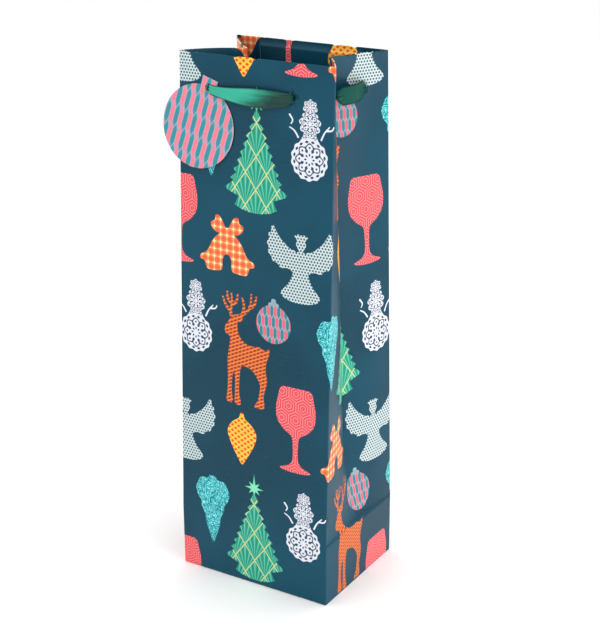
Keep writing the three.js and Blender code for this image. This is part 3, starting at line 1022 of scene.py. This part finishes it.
def make_cheek(side):
    """One side of the base, from corner to corner under the crease."""
    right = side == "right"
    start = SIDE_START if right else -BACK_START

    def place(flat):
        share = (flat[:, 0] - start) / (2 * HALF_DEPTH)
        return turned(place_cheek, False, not right)(share, flat[:, 1])

    low, high = (start, 0.0), (start + 2 * HALF_DEPTH, CREASE)
    columns = fold_lines(low[0], high[0])
    piece = printed_sheet(f"base_{side}_sheet", low, high, place, (columns, [0.3]), (22, 12))
    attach(piece, "base")
    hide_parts(f"base_{side}")
    return piece


# ------------------------------------------------------------- ribbon pieces


def grid_faces(rows, columns, closed=False):
    """Quads of a grid of points in row order; closed joins the last column to the first."""
    i, j = np.meshgrid(np.arange(rows - 1), np.arange(columns if closed else columns - 1))
    i, j = i.ravel(), j.ravel()
    k = (j + 1) % columns
    corners = [i * columns + j, i * columns + k, (i + 1) * columns + k, (i + 1) * columns + j]
    return np.stack(corners, axis=1)


def band_mesh(name, points, u, v, material, thickness=0.3):
    """A ribbon from a grid of points, with lengthwise u and crosswise v in its UV map."""
    rows, columns = points.shape[:2]
    faces = grid_faces(rows, columns)
    piece = new_mesh(name, points.reshape(-1, 3), faces)
    place = np.stack([u, v], axis=-1).reshape(-1, 2)
    give_uv(piece, "band", place[faces])
    piece.data.materials.append(material)
    solid = piece.modifiers.new("thickness", "SOLIDIFY")
    solid.thickness = thickness * MM
    solid.offset = 0
    return piece


def tube_mesh(name, path, side, half_out, half_up, material, pleats=6):
    """A closed pleated bundle along a path: an oval section whose radius ripples."""
    path, side = np.asarray(path, float), np.asarray(side, float)
    tangent = unit(np.gradient(path, axis=0))
    up = unit(np.cross(side, tangent))
    side = unit(np.cross(tangent, up))
    a = np.linspace(0, 2 * math.pi, 28, endpoint=False)
    ripple = 1 + 0.11 * np.cos(pleats * a)
    out = side[:, None, :] * (half_out[:, None] * np.cos(a) * ripple)[..., None]
    rise = up[:, None, :] * (half_up[:, None] * np.sin(a) * ripple)[..., None]
    points = path[:, None, :] + out + rise
    rows, columns = points.shape[:2]
    faces = grid_faces(rows, columns, closed=True).tolist()
    faces += [list(range(columns))[::-1], list(range((rows - 1) * columns, rows * columns))]
    piece = new_mesh(name, points.reshape(-1, 3), faces)
    length = np.concatenate([[0], np.cumsum(np.linalg.norm(np.diff(path, axis=0), axis=1))])
    u = np.broadcast_to((length / 66)[:, None], (rows, columns)).ravel()
    v = np.broadcast_to(np.abs(a / math.pi - 1), (rows, columns)).ravel()
    index = np.concatenate([np.array(face) for face in faces])
    give_uv(piece, "band", np.stack([u, v], axis=1)[index])
    piece.data.materials.append(material)
    clean = bmesh.new()
    clean.from_mesh(piece.data)
    bmesh.ops.recalc_face_normals(clean, faces=clean.faces)
    clean.to_mesh(piece.data)
    clean.free()
    return piece


WALL_UP = np.array([0.0, math.sin(LEAN), math.cos(LEAN)])
WALL_OUT = np.array([0.0, -math.cos(LEAN), math.sin(LEAN)])
HOLE_FACE = np.array([0.0, -float(edge_at(np.array(HOLE_Z))), HOLE_Z])


BAND_SPREAD = (0.3, 0.34, 0.55, 0.84, 1, 1, 0.82, 0.6, 0.32)


def make_handle(side, width, material):
    """A handle's band. Across, its place follows the sine of an angle and its stand-off
    the cosine, so both ends turn in at the holes; there it narrows into pleats."""
    back = side == "back"
    middle = (0.5 if not back else -0.5) * (HOLES[0] + HOLES[1])
    reach = 0.5 * (HOLES[1] - HOLES[0])
    turn = np.linspace(-0.5 * math.pi, 0.5 * math.pi, 97)[:, None]
    v = np.linspace(-1, 1, 25)[None, :]
    t = np.sin(turn) * (1 - 0.006 * np.cos(turn))
    open_share = np.clip(np.cos(turn), 0, 1)
    full = np.interp(t, (-1, -0.82, -0.5, -0.15, 0.1, 0.4, 0.7, 0.9, 1), BAND_SPREAD)
    half = 1.7 + (width / 2 - 1.7) * full
    centre = -1.5 * open_share**0.9 - (half - 1.7) * 0.26
    gather = (1 - full) * 0.42
    pleats = gather * np.cos(3.5 * math.pi * v + 0.6 * t)
    cup = 0.9 * full * (1 - v**2) - 0.55 * full * v
    out = -1.1 + 4.9 * open_share**0.75 + cup + pleats + 0.12 * full * np.sin(4 * t + 5 * v)
    up = centre + half * v + 0.25 * full * np.sin(3 * t + 1)
    up = np.minimum(up, 3.4)
    x = middle + reach * t + 0 * v
    points = np.array([0.0, HOLE_FACE[1], HOLE_FACE[2]]) + up[..., None] * WALL_UP
    points = points + out[..., None] * WALL_OUT + x[..., None] * np.array([1.0, 0, 0])
    if back:
        points = points * (-1, -1, 1)
    u = 0.5 + 0.5 * t + 0 * v
    piece = band_mesh(f"{side}_handle_band", points, u, 0.5 + 0.5 * v + 0 * t, material)
    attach(piece, f"{side}_handle")
    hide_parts(f"{side}_ribbon_handle")
    return piece


def gusset_hole(side, inset):
    """A gusset's hole in plan, as on the right front half, moved in by inset."""
    share, z = np.array([GUSSET_HOLE / HALF_DEPTH]), np.array([HOLE_Z])
    return soft_gusset_line(share, z, np.array([float(inset)]), GUSSET_PULL[side])[0]


def make_corner_run(side, end, material):
    """The gathered ribbon inside a corner: through the wall's hole, along the inside,
    out of the gusset's hole and a little way on towards the centre fold."""
    right, front = side == "right", end == "front"
    x = HOLES[1] if right else -HOLES[0]
    face = HOLE_FACE[1]
    hole, deep = gusset_hole(side, 0), gusset_hole(side, 2.6)
    corners = [
        (x, face - 0.6), (x + 0.3, face + 2.4), (x + 3.0, face + 3.2),
        (0.55 * x + 0.45 * deep[0], 0.35 * face + 0.65 * deep[1] - 2.2),
        tuple(deep + (-1.4, -0.9)), tuple(deep + (0.3, 0.4)), tuple(hole + (1.3, 0.2)),
        tuple(hole + (2.0, 3.2)), tuple(hole + (2.5, 7.4)),
    ]
    plan = smooth_line(corners, 8)
    path = np.column_stack([plan, np.full(len(plan), HOLE_Z - 0.2)])
    tangent = unit(np.gradient(path, axis=0))
    outward = np.cross(tangent, (0, 0, 1.0))
    t = np.linspace(0, 1, len(path))
    wide = smooth_step((t - 0.78) / 0.22)
    half_up = 2.0 + 2.6 * wide
    half_out = 0.95 - 0.6 * wide
    flip = np.array([1 if right else -1, 1 if front else -1, 1.0])
    name = f"{side}_{end}_gathered_ribbon"
    piece = tube_mesh(name, path * flip, outward * flip, half_out, half_up, material)
    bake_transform(piece)
    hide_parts(f"{side}_{end}_ribbon_run")
    return piece


def make_side_span(side, end, width, material):
    """Half of the band across a gusset: from the hole, where it is pleated, bowing out
    to the middle."""
    right, front = side == "right", end == "front"
    hole = gusset_hole(side, 0)
    t = np.linspace(0, 1, 33)[:, None]
    v = np.linspace(-1, 1, 21)[None, :]
    full = smooth_step(np.clip(t * 3.0 + 0.1, 0, 1))
    half = 3.0 + (width / 2 - 3.0) * full
    gather = (1 - full) * 0.3 * np.cos(3.5 * math.pi * v)
    bow = 1.3 + 2.4 * np.sin(0.5 * math.pi * t) + gather + 0.4 * full * (1 - v**2)
    x = hole[0] + bow
    y = hole[1] * (1 - t) + 0.4 * (1 - t) + 0 * v
    z = HOLE_Z - 0.6 * t - (half - 3.0) * 0.2 + half * v
    points = np.stack([x + 0 * v, y, z], axis=-1)
    flip = np.array([1 if right else -1, 1 if front else -1, 1.0])
    if right != front:
        points = points[:, ::-1]
        v = v[:, ::-1]
    name = f"{side}_{end}_side_band"
    piece = band_mesh(name, points * flip, 0.33 * t + 0 * v, 0.5 + 0.5 * v + 0 * t, material)
    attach(piece, "base")
    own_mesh(piece)
    return piece


def make_knot(material):
    """The knot inside the back panel: a flattened trefoil bundle, a lead from the hole
    and two short tails."""
    low, high = box_mm("ribbon_knot")
    middle, size = 0.5 * (low + high), 0.5 * (high - low)
    a = np.linspace(0, 2 * math.pi, 73)
    x = (np.sin(a) + 2 * np.sin(2 * a)) / 3
    z = (np.cos(a) - 2 * np.cos(2 * a)) / 3
    y = -np.sin(3 * a) / 3
    loop = middle + np.stack([x, y, z], axis=1) * (size - 0.5) * (1.0, 0.9, 1.0)
    across = np.cross(unit(np.gradient(loop, axis=0)), (0, 1.0, 0))
    same = np.ones(len(a))
    knot = tube_mesh("knot_loops", loop, across, 0.85 * same, 0.62 * same, material, 4)
    pieces = [knot]
    hole = np.array([HOLES[0], -HOLE_FACE[1] - 2.9, HOLE_Z])
    lead = smooth_line([hole, 0.5 * (hole + middle) + (0, -0.2, -0.6), middle + (-2.5, 0, 0)], 12)
    tails = [
        [middle + (1.5, -0.3, -1), middle + (4.5, -0.9, -7), middle + (4.0, -1.2, -15)],
        [middle + (-1, -0.3, -1), middle + (-2.5, -0.8, -9), middle + (-5.0, -1.3, -18)],
    ]
    for name, line in [("knot_lead", lead)] + [
        (f"knot_tail_{i}", smooth_line(tail, 12)) for i, tail in enumerate(tails, 1)
    ]:
        same = np.ones(len(line))
        flat_side = np.tile((0.0, 1.0, 0.0), (len(line), 1))
        grow = smooth_step(np.linspace(0, 1, len(line))) if "tail" in name else 0 * same
        part = tube_mesh(name, line, flat_side, (0.7 - 0.4 * grow), 1.5 + 2.4 * grow, material)
        pieces.append(part)
    for piece in pieces:
        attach(piece, "back_wall")
    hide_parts("ribbon_knot")
    return pieces


# ------------------------------------------------------------------- tag


def tag_outline():
    """The tag about its hole: a disc below it, and a square cap round it."""
    radius, drop, cap, top = TAG_RADIUS, TAG_DROP, 5.75, 6.0
    start = math.acos(cap / radius)
    a = np.linspace(math.pi - start, 2 * math.pi + start, 120)
    disc = np.stack([radius * np.cos(a), radius * np.sin(a) - drop], axis=1)
    return np.concatenate([disc, [(cap, top), (-cap, top)]])


def make_tag(turn, curl):
    """The card disc, turned about the hole it hangs from, its foot curling away."""
    outline = tag_outline()
    across, up = np.meshgrid(np.arange(-25, 26, 2.5), np.arange(-50, 10, 2.5))
    grid = np.stack([across.ravel(), up.ravel()], axis=1)
    inside = np.hypot(grid[:, 0], grid[:, 1] + TAG_DROP) < TAG_RADIUS - 1
    hole = round_shape(0, 0, 2.6, steps=36)
    flat, tris, _ = inlay(outline, grid[inside], [], [hole])
    across = flat[:, 0] * math.cos(turn) + flat[:, 1] * math.sin(turn)
    up = flat[:, 1] * math.cos(turn) - flat[:, 0] * math.sin(turn)
    out = 0.85 + curl * np.clip(-flat[:, 1] / 50, 0, 1) ** 2 + 0.15 * np.sin(flat[:, 0] / 9)
    points = HOLE_FACE + np.array([HOLES[0], 0, 0]) + across[:, None] * np.array([1.0, 0, 0])
    points = points + up[:, None] * WALL_UP + out[:, None] * WALL_OUT
    piece = new_mesh("ornament_tag", points, tris, smooth=False)
    give_uv(piece, "print", 0.5 + (flat[tris] + (0, TAG_DROP)) / UV_UNIT)
    for name in ("tag_print", "tag_edge"):
        piece.data.materials.append(bpy.data.materials[name])
    give_thickness(piece, 0.5, 1)
    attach(piece, "tag")
    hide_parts("gift_tag")
    return piece


# ----------------------------------------------------------------- stage


def area_light(name, place, target, size, power):
    """A square soft light at place, facing target."""
    data = bpy.data.lights.new(name, "AREA")
    data.size, data.energy = size, power
    light = bpy.data.objects.new(name, data)
    light.location = place
    facing = Vector(target) - Vector(place)
    light.rotation_euler = facing.to_track_quat("-Z", "Y").to_euler()
    bpy.context.scene.collection.objects.link(light)


def make_camera():
    """A long lens, above the right front corner and looking down at the bag."""
    yaw, pitch, roll = -0.551, -0.3551, -0.0051
    level = Vector((math.sin(yaw), math.cos(yaw), 0)) * math.cos(pitch)
    ahead = level + Vector((0, 0, math.sin(pitch)))
    right = Vector((math.cos(yaw), -math.sin(yaw), 0))
    up = right.cross(ahead)
    side = math.cos(roll) * right + math.sin(roll) * up
    top = math.cos(roll) * up - math.sin(roll) * right
    data = bpy.data.cameras.new("studio_camera")
    data.lens, data.sensor_width = 84.54, 36.0
    data.clip_start, data.clip_end = 0.05, 50
    camera = bpy.data.objects.new("studio_camera", data)
    turned_to = Matrix((side, top, -ahead)).transposed()
    camera.matrix_world = Matrix.Translation((0.4863, -0.7736, 0.5192)) @ turned_to.to_4x4()
    bpy.context.scene.collection.objects.link(camera)
    bpy.context.scene.camera = camera


def make_stage(strength):
    """A white floor, soft lights all round and the camera."""
    points = np.array([(-6, -6, 0), (6, -6, 0), (6, 6, 0), (-6, 6, 0)]) / MM
    floor = new_mesh("studio_floor", points - (0, 0, 0.3), [[0, 1, 2, 3]], smooth=False)
    finish = Finish("studio_white")
    cloud = finish.noise(finish.object, 2.0, 2)
    finish.set(Base_Color=finish.mix(cloud, colour("F8F8F8"), colour("FBFBFB")), Roughness=0.9)
    floor.data.materials.append(finish.material)
    world = bpy.data.worlds.new("studio_world")
    world.use_nodes = True
    back = world.node_tree.nodes["Background"]
    back.inputs[0].default_value = (1, 1, 1, 1)
    back.inputs[1].default_value = 1.02 * strength
    bpy.context.scene.world = world
    bpy.context.scene.view_settings.view_transform = "Standard"
    area_light("key_light", (-0.7, -1.3, 1.5), (0, 0, 0.18), 1.1, 4 * strength)
    area_light("side_light", (1.3, -0.35, 0.35), (0.04, 0, 0.2), 0.8, 8 * strength)
    area_light("top_light", (0.1, 0.3, 1.8), (0, 0, 0.2), 1.2, 7 * strength)
    make_camera()


# ---------------------------------------------------------------- add-on


class GiftBagSettings(bpy.types.PropertyGroup):
    """Sizes and colours of the bag that a user would change."""

    ribbon_width: bpy.props.FloatProperty(
        name="Ribbon Width", description="Width of the satin ribbon", default=11.5 * MM,
        min=0.006, max=0.02, unit="LENGTH",
    )
    tag_curl: bpy.props.FloatProperty(
        name="Tag Curl", description="How far the tag's foot curls away from the bag",
        default=1.4 * MM, min=0.0, max=0.01, unit="LENGTH",
    )
    tag_turn: bpy.props.FloatProperty(
        name="Tag Turn", description="How far the tag leans from hanging straight",
        default=math.radians(17), min=0.0, max=math.pi / 2, subtype="ANGLE",
    )
    paper_roughness: bpy.props.FloatProperty(
        name="Paper Roughness", description="How matt the printed face is", default=0.4,
        min=0.1, max=1.0, subtype="FACTOR",
    )
    satin: bpy.props.FloatVectorProperty(
        name="Satin", description="Body colour of the ribbon", size=4, subtype="COLOR",
        default=colour("0B735F"), min=0.0, max=1.0,
    )
    tag_pink: bpy.props.FloatVectorProperty(
        name="Tag Pink", description="The tag's warm hexagons", size=4, subtype="COLOR",
        default=colour("F2687C"), min=0.0, max=1.0,
    )
    tag_teal: bpy.props.FloatVectorProperty(
        name="Tag Teal", description="The tag's cool hexagons", size=4, subtype="COLOR",
        default=colour("1B8593"), min=0.0, max=1.0,
    )
    light: bpy.props.FloatProperty(
        name="Light", description="Strength of the studio light", default=1.0, min=0.1, max=4.0,
    )


def settings():
    """The scene's gift bag settings."""
    return bpy.context.scene.gift_bag


class GIFTBAG_OT_finishes(bpy.types.Operator):
    """Make the printed paper, card, satin and tag finishes"""

    bl_idname = "giftbag.finishes"
    bl_label = "Finishes"

    def execute(self, context):
        chosen = settings()
        make_prints(chosen.paper_roughness)
        # The two colours after the body are the band's painted highlight and painted shade.
        make_satin("satin", tuple(chosen.satin), colour("2BA98F"), colour("012A25"), 0.3)
        # The same satin painted darker all over, as painted shade, for the ribbon in the corners
        # and across the gussets.
        make_satin("satin_reverse", colour("013A31"), colour("064A3E"), colour("01201C"), 0.08)
        make_board("grey_board", "C9C7BF", "DDDBD3", 0.85)
        make_board("plain_paper", "D9D8D2", "EFEEE9", 0.8)
        make_tag_faces(tuple(chosen.tag_pink), tuple(chosen.tag_teal))
        return {"FINISHED"}


class GIFTBAG_OT_walls(bpy.types.Operator):
    """Make the front and back sheets, from base flap to turned-in rim"""

    bl_idname = "giftbag.walls"
    bl_label = "Front and Back"

    def execute(self, context):
        make_wall("front_wall_sheet", False, HALF_DEPTH - FLAP_LAP - BASE_FLAP_GAP)
        make_wall("back_wall_sheet", True, HALF_DEPTH + FLAP_LAP)
        return {"FINISHED"}


class GIFTBAG_OT_gussets(bpy.types.Operator):
    """Make the four gusset halves"""

    bl_idname = "giftbag.gussets"
    bl_label = "Gussets"

    def execute(self, context):
        for side in ("right", "left"):
            for end in ("front", "back"):
                make_gusset(side, end)
        return {"FINISHED"}


class GIFTBAG_OT_base_sides(bpy.types.Operator):
    """Make the two sides of the base"""

    bl_idname = "giftbag.base_sides"
    bl_label = "Base Sides"

    def execute(self, context):
        make_cheek("right")
        make_cheek("left")
        return {"FINISHED"}


class GIFTBAG_OT_cards(bpy.types.Operator):
    """Finish the stiffening cards and the inner base flaps"""

    bl_idname = "giftbag.cards"
    bl_label = "Cards and Flaps"

    def execute(self, context):
        for names, finish in (
            (("base_card", "front_rim_card", "back_rim_card"), "grey_board"),
            (("base_flap_right", "base_flap_left"), "plain_paper"),
        ):
            for name in names:
                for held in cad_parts[name].material_slots:
                    held.material = bpy.data.materials[finish]
        return {"FINISHED"}


class GIFTBAG_OT_handles(bpy.types.Operator):
    """Make the two ribbon handles"""

    bl_idname = "giftbag.handles"
    bl_label = "Handles"

    def execute(self, context):
        for side in ("front", "back"):
            make_handle(side, settings().ribbon_width / MM, bpy.data.materials["satin"])
        return {"FINISHED"}


class GIFTBAG_OT_side_ribbons(bpy.types.Operator):
    """Make the gathered ribbon in each corner and the bands across the gussets"""

    bl_idname = "giftbag.side_ribbons"
    bl_label = "Side Ribbons"

    def execute(self, context):
        # The corner runs and the side bands take the satin painted darker, as painted shade.
        satin = bpy.data.materials["satin_reverse"]
        for side in ("right", "left"):
            for end in ("front", "back"):
                make_corner_run(side, end, satin)
                make_side_span(side, end, settings().ribbon_width / MM, satin)
            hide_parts(f"{side}_ribbon_span")
        return {"FINISHED"}


class GIFTBAG_OT_knot(bpy.types.Operator):
    """Make the knot and its tails inside the back"""

    bl_idname = "giftbag.knot"
    bl_label = "Knot"

    def execute(self, context):
        make_knot(bpy.data.materials["satin"])
        return {"FINISHED"}


class GIFTBAG_OT_tag(bpy.types.Operator):
    """Make the card tag"""

    bl_idname = "giftbag.tag"
    bl_label = "Tag"

    def execute(self, context):
        chosen = settings()
        make_tag(chosen.tag_turn, chosen.tag_curl / MM)
        return {"FINISHED"}


class GIFTBAG_OT_stage(bpy.types.Operator):
    """Make the floor, the lights and the camera"""

    bl_idname = "giftbag.stage"
    bl_label = "Stage"

    def execute(self, context):
        make_stage(settings().light)
        return {"FINISHED"}


OPERATORS = (
    GIFTBAG_OT_finishes, GIFTBAG_OT_walls, GIFTBAG_OT_gussets, GIFTBAG_OT_base_sides,
    GIFTBAG_OT_cards, GIFTBAG_OT_handles, GIFTBAG_OT_side_ribbons, GIFTBAG_OT_knot,
    GIFTBAG_OT_tag, GIFTBAG_OT_stage,
)


class GIFTBAG_PT_panel(bpy.types.Panel):
    """The bag's settings and the buttons that make its pieces"""

    bl_idname = "GIFTBAG_PT_panel"
    bl_label = "Wine Gift Bag"
    bl_space_type = "VIEW_3D"
    bl_region_type = "UI"
    bl_category = "Gift Bag"

    def draw(self, context):
        for name in GiftBagSettings.__annotations__:
            self.layout.prop(context.scene.gift_bag, name)
        for operator in OPERATORS:
            self.layout.operator(operator.bl_idname)


CLASSES = (GiftBagSettings, *OPERATORS, GIFTBAG_PT_panel)


def register():
    for made in CLASSES:
        bpy.utils.register_class(made)
    bpy.types.Scene.gift_bag = bpy.props.PointerProperty(type=GiftBagSettings)


def unregister():
    del bpy.types.Scene.gift_bag
    for made in reversed(CLASSES):
        bpy.utils.unregister_class(made)


def main():
    """Makes every piece in order."""
    register()
    bpy.ops.giftbag.finishes()
    bpy.ops.giftbag.walls()
    bpy.ops.giftbag.gussets()
    bpy.ops.giftbag.base_sides()
    bpy.ops.giftbag.cards()
    bpy.ops.giftbag.handles()
    bpy.ops.giftbag.side_ribbons()
    bpy.ops.giftbag.knot()
    bpy.ops.giftbag.tag()
    bpy.ops.giftbag.stage()


if __name__ == "__main__":
    main()
